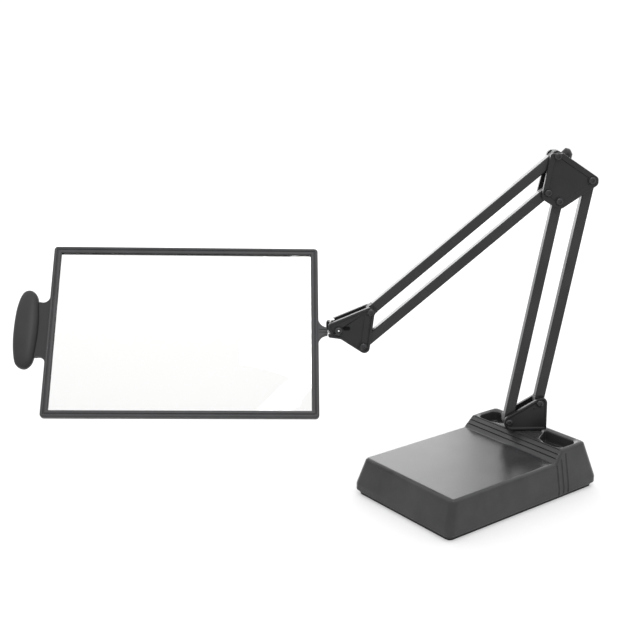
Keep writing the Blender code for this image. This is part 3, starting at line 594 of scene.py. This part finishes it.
def make_nut(name, body, pivot):
    """A six-sided nut with its corners turned down."""
    low, high = -SCREW_SEAT - NUT_DEEP, -SCREW_SEAT
    profile = (
        (low, 2.3), (low, 3.3), (low + 0.35, 3.9), (high - 0.02, 3.9), (high, 3.7), (high, 2.3)
    )
    bm = lathe(bmesh.new(), profile, (pivot[0], 0, pivot[1]), "y", 36, (2, 3, 4))
    piece(mesh_object(f"{name}_hex", bm, ARM), body, "black_steel", f"{name}_nut")


def cheek(bm, corners, side, rim=3.0, deep=0.8, ramp=0.7):
    """A bracket's side plate: rounded edges and a raised rim round a shallow panel."""
    levels = (
        (0.3, CHEEK_IN), (0.0, CHEEK_IN + 0.3), (0.0, CHEEK_OUT - 0.7), (0.12, CHEEK_OUT - 0.3),
        (0.35, CHEEK_OUT - 0.08), (0.7, CHEEK_OUT), (rim - 0.3, CHEEK_OUT), (rim, CHEEK_OUT - 0.1),
        (rim + ramp, CHEEK_OUT - deep + 0.12), (rim + ramp + 0.35, CHEEK_OUT - deep),
    )
    return skin(bm, [[(x, side * v, z) for x, z in fillet(corners, inset)] for inset, v in levels])


def pad(bm, pivot, side, radius=4.4):
    """The round boss under a pivot screw."""
    low, top = CHEEK_IN + 1, CHEEK_OUT
    profile = (
        (low, 0), (low, radius), (top - 0.35, radius), (top - 0.08, radius - 0.15),
        (top, radius - 0.45), (top, 0),
    )
    profile = [(side * d, r) for d, r in profile]
    return lathe(bm, profile, (pivot[0], 0, pivot[1]), "y", 36)


def bar(bm, start, end, width, side, low, high):
    """A raised bar between two points of a cheek."""
    along = (Vector(end) - Vector(start)).normalized()
    across = Vector((-along.y, along.x))
    rings = []
    for grow, v in ((0.3, low), (0.0, high - 0.4), (-0.3, high - 0.08), (-0.7, high)):
        half = across * (width / 2 + grow)
        tip = along * grow
        near, far = Vector(start) - tip, Vector(end) + tip
        corners = [near - half, far - half, far + half, near + half]
        rings.append([(p.x, side * v, p.y) for p in corners])
    return skin(bm, rings)


BASE_CORNERS = [(22.2, 49.2, 7.0), (22.2, 61.7, 5.5), (-19.2, 87.0, 5.5), (-20.0, 49.2, 1.6)]
ELBOW_CORNERS = [
    (-2.2, 281.6, 4.0), (-8.9, 323.3, 2.6), (-20.6, 323.3, 4.0), (-55.2, 300.4, 4.5),
    (-55.2, 293.8, 4.5), (-22.2, 271.3, 5.5), (-17.1, 271.3, 5.5),
]
ELBOW_FAR_CORNERS = [
    (-0.4, 282.2, 3.0), (-9.3, 325.0, 4.5), (-18.2, 325.0, 4.0),
] + ELBOW_CORNERS[3:]
EAR_CORNERS = [
    (-20.5, 314.0, 1.0), (-22.3, 322.4, 1.5), (-26.4, 326.6, 1.8), (-30.9, 325.6, 2.6),
    (-33.4, 320.6, 1.8), (-31.6, 311.0, 1.0),
]
HEAD_CORNERS = [
    (198.9, 147.7, 2.6), (198.9, 160.3, 3.5), (151.9, 180.0, 5.0), (158.4, 127.7, 5.2),
    (185.7, 146.0, 6.0),
]
# The near side's nose is 1.3 mm shorter and has a small notch.
HEAD_NEAR_CORNERS = [
    (197.6, 147.7, 2.2), (197.6, 150.3, 0.5), (196.0, 151.0, 0.5), (194.9, 152.3, 0.9),
    (196.0, 153.7, 0.5), (197.6, 154.4, 0.5), (197.6, 160.9, 3.5),
] + HEAD_CORNERS[2:]
RIVET = ((8.0, 0), (8.0, 1.5), (8.7, 1.45), (9.0, 1.0), (9.05, 0))
EAR_DOME = (
    (4.4, 2.6), (3.6, 2.8), (2.7, 3.3), (1.8, 4.1), (1.0, 5.1), (0.4, 6.2), (0.1, 7.2), (0, 7.8),
    (0, CHEEK_OUT - 0.6), (0.15, CHEEK_OUT - 0.15), (0.6, CHEEK_OUT),
)


def make_base_bracket():
    bm = bmesh.new()
    for side in (-1, 1):
        cheek(bm, BASE_CORNERS, side, 2.0, 0.6)
        pad(bm, LOWER_FRONT, side, 4.0)
        pad(bm, LOWER_REAR, side, 4.0)
        lathe(bm, [(side * d, r) for d, r in RIVET], (-6.9, 0, 72.3), "y", 20)
    web = [(-19.6, 50.25), (14.0, 50.25), (14.0, 54.2), (-19.4, 54.2)]
    prism(bm, web, -CHEEK_IN - 1, CHEEK_IN + 1, "xz")
    piece(mesh_object("arm_foot", bm, ARM), "turret", "bracket_plastic", "base_bracket")


def make_elbow():
    bm = cheek(bmesh.new(), ELBOW_CORNERS, 1, 5.0, 0.9, 0.5)
    for name, pivot in elbow_pivots().items():
        pad(bm, pivot, 1, 3.4 if name == "upper_top" else 4.4)
    near = mesh_object("elbow_near_plate", bm, ARM)
    piece(near, "elbow", "bracket_plastic", "elbow_near_cheek")
    bm = cheek(bmesh.new(), ELBOW_FAR_CORNERS, -1, 5.0, 0.9, 0.5)
    for pivot in elbow_pivots().values():
        pad(bm, pivot, -1)
    skin(bm, [[(x, -v, z) for x, z in fillet(EAR_CORNERS, inset)] for inset, v in EAR_DOME])
    far = mesh_object("elbow_far_plate", bm, ARM)
    piece(far, "elbow", "bracket_plastic", "elbow_far_cheek")


def make_head():
    bm = bmesh.new()
    clamp = stub_to_arm(CLAMP)
    low, top = upper_end(ELBOW_LOW), upper_end(ELBOW_TOP)
    for side in (-1, 1):
        cheek(bm, HEAD_NEAR_CORNERS if side > 0 else HEAD_CORNERS, side, 2.2, 0.9, 0.5)
        for pivot in (low, top, clamp):
            pad(bm, pivot, side)
        bar(bm, (159.9, 169.5), (163.0, 141.5), 5.8, side, 7.0, 8.95)
    web = [(171.2, 136.3), (185.6, 146.0), (184.4, 148.6), (171.2, 139.6)]
    prism(bm, web, -CHEEK_IN - 1, CHEEK_IN + 1, "xz")
    piece(mesh_object("head_bracket_body", bm, ARM), "head", "bracket_plastic", "head_bracket")
    # The slot is not cut. A thin near-black sheet in its shape lies on the near cheek and paints
    # the shade inside it.
    painted_shade_outline = rounded_box(3.4, 1.9, 1.8, 8, (179.9, 156.6))
    slot = mesh_object("head_slot_shadow", prism(bmesh.new(), painted_shade_outline, 8.0, 8.42, "xz"), ARM)
    piece(slot, "head", "bracket_plastic", look=PAINTED_SLOT_SHADE)


def elbow_pivots():
    return {
        "lower_front": lower_end(LOWER_FRONT), "lower_rear": lower_end(LOWER_REAR),
        "upper_low": ELBOW_LOW, "upper_top": ELBOW_TOP,
    }


def make_pivots():
    sets = {"base_front_pivot": ("turret", LOWER_FRONT), "base_rear_pivot": ("turret", LOWER_REAR)}
    for label, pivot in elbow_pivots().items():
        sets[f"elbow_{label}"] = ("elbow", pivot)
    sets["head_low"] = ("head", upper_end(ELBOW_LOW))
    sets["head_top"] = ("head", upper_end(ELBOW_TOP))
    for name, (body, pivot) in sets.items():
        make_bolt(name, body, pivot)
        make_nut(name, body, pivot)
    u, z = stub_to_arm(CLAMP)
    make_bolt("clamp", "head", (u, z), 4.1)
    make_nut("clamp", "head", (u, z))
    near = SCREW_SEAT
    profile = (
        (near + 0.85, 0), (near + 0.85, 1.1), (near + 1.5, 1.05), (near + 1.85, 0.75),
        (near + 1.95, 0.3), (near + 1.97, 0),
    )
    tip = mesh_object("clamp_tip", lathe(bmesh.new(), profile, (u, 0, z + 0.5), "y", 28), ARM)
    piece(tip, "head", "black_steel", look=POLISHED, angle=60)


def make_knuckle():
    x, z = CLAMP
    outline = arc((x, z), 6.4, 90, 270, 20) + [(-10.7, -4.0), (-10.7, 9.8)]
    bm = prism(bmesh.new(), outline, -EYE_HALF, EYE_HALF, "xz")
    block = bake(bevel(mesh_object("knuckle_block", bm, STUB), 0.6, 3, 40))
    for profile, centre, axis in (
        (((-9, 0), (-9, 2.3), (9, 2.3), (9, 0)), (x, 0, z), "y"),
        (((-15.6, 0), (-15.6, 2.5), (0, 2.5), (0, 0)), (0, 0, 0), "x"),
        (((1, 0), (1, 1.5), (20, 1.5), (20, 0)), (-12.4, 0, 0), "z"),
    ):
        boolean(block, mesh_object("bore", lathe(bmesh.new(), profile, centre, axis, 28), STUB))
    piece(block, "knuckle", "bracket_plastic", "knuckle")
    screw = (
        (1.95, 0), (1.95, 0.8), (3.2, 0.8), (3.6, 1.2), (10.1, 1.2), (10.1, 2.75), (10.25, 2.9),
        (12.4, 2.9), (12.62, 2.8), (12.7, 2.6), (12.7, 1.45), (11.3, 1.35), (11.3, 0),
    )
    bm = lathe(bmesh.new(), screw, (-12.4, 0, 0), "z", 36, (10, 11))
    piece(mesh_object("tension_screw", bm, STUB), "knuckle", "steel", "knuckle_screw")


# ---------------------------------------------------------------- lens


def frame_ring(margin, y, count=7):
    half_x, half_z = FRAME_LENGTH / 2 - margin, FRAME_HEIGHT / 2 - margin
    points = rounded_box(half_x, half_z, max(CORNER_R - margin, 0.5), count, (FRAME_LENGTH / 2, 0))
    return [(x, y, z) for x, z in points]


def sweep(bm, profile):
    return skin(bm, [frame_ring(margin, y) for margin, y in profile], True)


def make_frame():
    """The moulded surround, with a rounded rim and a groove, and the bead that holds the lens."""
    turns = [radians(a) for a in range(0, 121, 15)]
    rim = [(RIM_R - RIM_R * cos(a), RIM_R + RIM_R * sin(a)) for a in turns]
    profile = [(0.0, -2.3)] + rim + [
        (3.0, 2.75), (3.15, 2.4), (3.4, 2.3), (3.75, 2.3), (3.95, 2.45), (4.05, 2.8), (4.3, 3.05),
        (5.6, 3.05), (6.3, 2.9), (6.8, 2.55), (BAR, 2.2), (BAR, 1.85), (4.35, 1.85), (4.35, -1.6),
        (3.25, -1.6), (3.25, -3.2), (3.1, -3.4), (2.8, -3.5), (1.3, -3.5), (0.6, -3.3),
        (0.15, -2.85),
    ]
    surround = mesh_object("lens_surround", sweep(bmesh.new(), profile), LENS)
    piece(surround, "lens", "frame_plastic", "lens_frame", angle=40)
    profile = (
        (3.5, -3.1), (3.5, -1.9), (BAR, -1.9), (BAR, -2.8), (BAR - 0.15, -3.05),
        (BAR - 0.4, -3.2), (3.8, -3.2),
    )
    bead = mesh_object("lens_bead", sweep(bmesh.new(), profile), LENS)
    piece(bead, "lens", "frame_plastic", "lens_retainer")


def make_stub():
    """The flared stub that joins the frame to the knuckle, with two shallow lines cut in it."""
    upper = [
        (3.0, 12.2), (0.2, 11.9), (-0.4, 10.0), (-1.2, 8.3), (-2.3, 6.8), (-3.8, 5.4),
        (-5.6, 4.5), (-7.4, 3.9), (-8.9, 3.8),
    ]
    bm = prism(bmesh.new(), upper + [(x, -z) for x, z in upper[::-1]], -2.7, 2.7, "xz")
    stub = bake(bevel(mesh_object("lens_stub", bm, LENS), 0.7, 4, 40))
    for z in (-1.6, 1.2):
        bm = prism(bmesh.new(), rounded_box(4.6, 0.4, 0.35, 3, (-4.9, z)), 2.1, 5.0, "xz")
        boolean(stub, mesh_object("stub_line", bm, LENS))
    piece(stub, "lens", "frame_plastic")


def make_grip_neck():
    """The flat neck that carries the grip."""
    end = FRAME_LENGTH
    curve = [(end - 3, 33.6), (end - 0.2, 33.4)] + arc((end + 6.3, 34.2), 6.4, 188, 290, 14)
    curve += arc((end + 10.2, 31.4), 4.2, 302, 350, 6) + [(end + 15.0, 31.6), (end + 23.4, 25.6)]
    bm = prism(bmesh.new(), curve + [(x, -z) for x, z in curve[::-1]], -2.2, 2.2, "xz")
    neck = bake(bevel(mesh_object("grip_neck", bm, LENS), 0.5, 3, 40))
    piece(neck, "lens", "frame_plastic", look=LOOKS["grip_plastic"])


def make_axle():
    """The polished pin that the lens rolls on."""
    profile = (
        (-1.9, 0), (-1.9, 1.6), (-9.1, 1.6), (-9.1, 2.2), (-11.2, 2.2), (-11.2, 1.6),
        (-13.6, 1.6), (-13.6, 2.2), (-14.9, 2.2), (-15.3, 1.8), (-15.3, 0),
    )
    axle = mesh_object("lens_axle", lathe(bmesh.new(), profile, (0, 0, 0), "x", 32), LENS)
    piece(axle, "lens", "steel", "lens_pin", look=POLISHED)


def make_lens(columns=56, rows=40):
    """A clear lens with both faces crowned and a flat rim. It casts no shadow."""
    half_x, half_z = FRAME_LENGTH / 2 - LENS_MARGIN, FRAME_HEIGHT / 2 - LENS_MARGIN
    bm = bmesh.new()
    borders = []
    for face, sign in ((LENS_FRONT, 1), (LENS_BACK, -1)):
        grid = []
        for j in range(rows + 1):
            line = []
            for i in range(columns + 1):
                x, z = half_x * (2 * i / columns - 1), half_z * (2 * j / rows - 1)
                rise = max(0.0, 1 - (x / (half_x - LENS_RIM)) ** 2)
                rise *= max(0.0, 1 - (z / (half_z - LENS_RIM)) ** 2)
                y = face + sign * LENS_BULGE * rise
                line.append(bm.verts.new((FRAME_LENGTH / 2 + x, y, z)))
            grid.append(line)
        for low, high in zip(grid, grid[1:]):
            for i in range(columns):
                bm.faces.new((low[i], low[i + 1], high[i + 1], high[i]))
        left, right = [row[0] for row in grid], [row[-1] for row in grid]
        borders.append(grid[0] + right[1:] + grid[-1][-2::-1] + left[-2:0:-1])
    front, back = borders
    for i in range(len(front)):
        j = (i + 1) % len(front)
        bm.faces.new((front[i], front[j], back[j], back[i]))
    lens = piece(mesh_object("lens_pane", bm, LENS), "lens", "acrylic", "lens", angle=50)
    lens.visible_shadow = False


# The grip's outer and inner edge: (degrees up the grip, mm from the middle of the frame).
# GRIP_SHIFT moves both towards the lens.
GRIP_OUT = (
    (-90, 150.0), (-74, 155.4), (-60, 158.9), (-43, 161.0), (-22, 162.7), (-5, 163.2), (12, 163.0),
    (29, 162.2), (45, 160.6), (58, 158.9), (73, 156.2), (90, 151.2),
)
GRIP_IN = (
    (-90, 150.0), (-72, 145.6), (-60, 143.0), (-49, 141.6), (-20, 139.8), (5, 139.2), (26, 140.0),
    (47, 141.6), (60, 143.4), (74, 146.6), (90, 151.2),
)
GRIP_SHIFT, GRIP_MIDDLE_Z, GRIP_HALF_Z, GRIP_DEPTH, GRIP_SEAM = -0.9, 0.3, 40.2, 7.4, 0.15
GRIP_SLICES, GRIP_TURNS, GRIP_SQUARENESS, GRIP_END_FULLNESS = 44, 24, 0.86, 0.55


def make_grip():
    """Two domed halves with a fine seam between them."""
    for name, node, side in (("grip_face", "grip_front", 1), ("grip_rear", "grip_back", -1)):
        rings = []
        for k in range(1, GRIP_SLICES):
            t = -90 + 180 * k / GRIP_SLICES
            z = GRIP_MIDDLE_Z + GRIP_HALF_Z * sin(radians(t))
            outer, inner = along_table(GRIP_OUT, t), along_table(GRIP_IN, t)
            middle, half = (outer + inner) / 2 + GRIP_SHIFT, (outer - inner) / 2
            depth = GRIP_DEPTH * max(cos(radians(t)), 0.0) ** GRIP_END_FULLNESS
            ring = []
            for i in range(GRIP_TURNS + 1):
                a = pi * i / GRIP_TURNS
                c, s = cos(a), sin(a)
                x = middle + half * (abs(c) ** GRIP_SQUARENESS) * (1 if c > 0 else -1)
                y = side * (GRIP_SEAM + depth * s ** GRIP_SQUARENESS)
                ring.append((FRAME_LENGTH / 2 + x, y, z))
            rings.append(ring)
        grip = mesh_object(name, skin(bmesh.new(), rings), LENS)
        piece(grip, "lens", "frame_plastic", node, look=LOOKS["grip_plastic"], angle=60)


def finish_nodes():
    """Materials for the nodes that stay as they are. A slot without a look gets plug_nylon."""
    slots = {s["node"]: s["material_slot"] for s in frame["record"]["subparts"]}
    for name, obj in frame["nodes"].items():
        slot = slots[name]
        obj.data.materials.clear()
        obj.data.materials.append(LOOKS.get(slot, LOOKS["plug_nylon"]))
        obj.data.shade_smooth()
        obj.data.set_sharp_from_angle(angle=radians(30))


make_base()
make_swivel()
make_link("lower_arm", LOWER_FRONT, LOWER_LENGTH, pi / 2 + LOWER_LEAN)
make_link("lower_link", LOWER_REAR, LOWER_LENGTH, pi / 2 + LOWER_LEAN)
make_link("upper_arm", ELBOW_LOW, UPPER_LENGTH, -UPPER_DROP)
make_link("upper_link", ELBOW_TOP, UPPER_LENGTH, -UPPER_DROP)
make_base_bracket()
make_elbow()
make_head()
make_pivots()
make_knuckle()
make_frame()
make_stub()
make_grip_neck()
make_axle()
make_lens()
make_grip()
finish_nodes()


# ---------------------------------------------------------------- stage

FLOOR_HALF, FLOOR_GREY, FLOOR_GLOW = 40000, 0.42, 0.36
SKY_FROM, SKY_TO, SKY_LOW, SKY_HIGH = 0.4, 0.75, 1.05, 1.8
# Each softbox: place, aim, width and height in metres, and radiance.
SOFTBOXES = {
    "back_softbox": ((-1.62, 0.62, 0.62), (0, 0, 0.12), 1.55, 1.15, 3.0),
    "fill_softbox": ((-0.62, 1.52, 0.86), (0, 0, 0.05), 1.05, 0.9, 1.7),
    "key_softbox": ((0.44, -0.38, 1.23), (0, 0, 0.1), 0.3, 0.3, 9.0),
}
# The camera was fitted to the photograph: its place in metres, its lens in millimetres.
CAMERA_PLACE, CAMERA_LENS, CAMERA_SHIFT = (0.67308, -0.70617, 0.44708), 61.12, -0.0011
CAMERA_HEADING, CAMERA_PITCH, CAMERA_ROLL = radians(52.864), radians(-15.661), radians(-0.088)


def make_stage():
    """A grey floor that glows a little, to run into the sky without an edge."""
    bm = bmesh.new()
    bmesh.ops.create_grid(bm, x_segments=1, y_segments=1, size=FLOOR_HALF)
    floor = mesh_object("floor", bm)
    material, _, shader = shader_tree("floor_look")
    shader.inputs["Base Color"].default_value = (FLOOR_GREY, FLOOR_GREY, FLOOR_GREY, 1.0)
    shader.inputs["Roughness"].default_value = 0.9
    shader.inputs["Specular IOR Level"].default_value = 0.1
    shader.inputs["Emission Color"].default_value = (1.0, 1.0, 1.0, 1.0)
    shader.inputs["Emission Strength"].default_value = FLOOR_GLOW
    floor.data.materials.append(material)


def softbox(name, place, aim, width, height, radiance):
    """A rectangular light of a given radiance that faces a point."""
    light = bpy.data.lights.new(name, "AREA")
    light.shape = "RECTANGLE"
    light.size, light.size_y = width, height
    light.energy = radiance * pi * width * height
    obj = bpy.data.objects.new(name, light)
    obj.location = place
    obj.rotation_euler = (Vector(aim) - Vector(place)).to_track_quat("-Z", "Y").to_euler()
    obj.visible_camera = False
    bpy.context.scene.collection.objects.link(obj)


def make_light():
    """A white sky, brighter overhead, and three softboxes."""
    world = bpy.data.worlds.new("studio")
    world.use_nodes = True
    tree = world.node_tree
    background = tree.nodes["Background"]
    background.inputs["Color"].default_value = (1.0, 1.0, 1.0, 1.0)
    place = tree.nodes.new("ShaderNodeTexCoord")
    split = tree.nodes.new("ShaderNodeSeparateXYZ")
    fade = tree.nodes.new("ShaderNodeMapRange")
    fade.interpolation_type = "SMOOTHSTEP"
    fade.inputs["From Min"].default_value = SKY_FROM
    fade.inputs["From Max"].default_value = SKY_TO
    fade.inputs["To Min"].default_value = SKY_LOW
    fade.inputs["To Max"].default_value = SKY_HIGH
    tree.links.new(place.outputs["Generated"], split.inputs["Vector"])
    tree.links.new(split.outputs["Z"], fade.inputs["Value"])
    tree.links.new(fade.outputs["Result"], background.inputs["Strength"])
    bpy.context.scene.world = world
    for name, settings in SOFTBOXES.items():
        softbox(name, *settings)


def make_camera():
    """Heading turns about Z from +Y, pitch is up from level, and roll is about the view."""
    data = bpy.data.cameras.new("camera")
    data.lens, data.sensor_width, data.sensor_fit = CAMERA_LENS, 36.0, "AUTO"
    data.clip_start, data.clip_end = 0.05, 50.0
    data.shift_x = CAMERA_SHIFT
    obj = bpy.data.objects.new("camera", data)
    turn = Matrix.Rotation(CAMERA_HEADING, 4, "Z")
    turn = turn @ Matrix.Rotation(pi / 2 + CAMERA_PITCH, 4, "X")
    turn = turn @ Matrix.Rotation(CAMERA_ROLL, 4, "Z")
    obj.matrix_world = Matrix.Translation(CAMERA_PLACE) @ turn
    bpy.context.scene.collection.objects.link(obj)
    bpy.context.scene.camera = obj


make_stage()
make_light()
make_camera()
bpy.context.scene.view_settings.view_transform = "Standard"
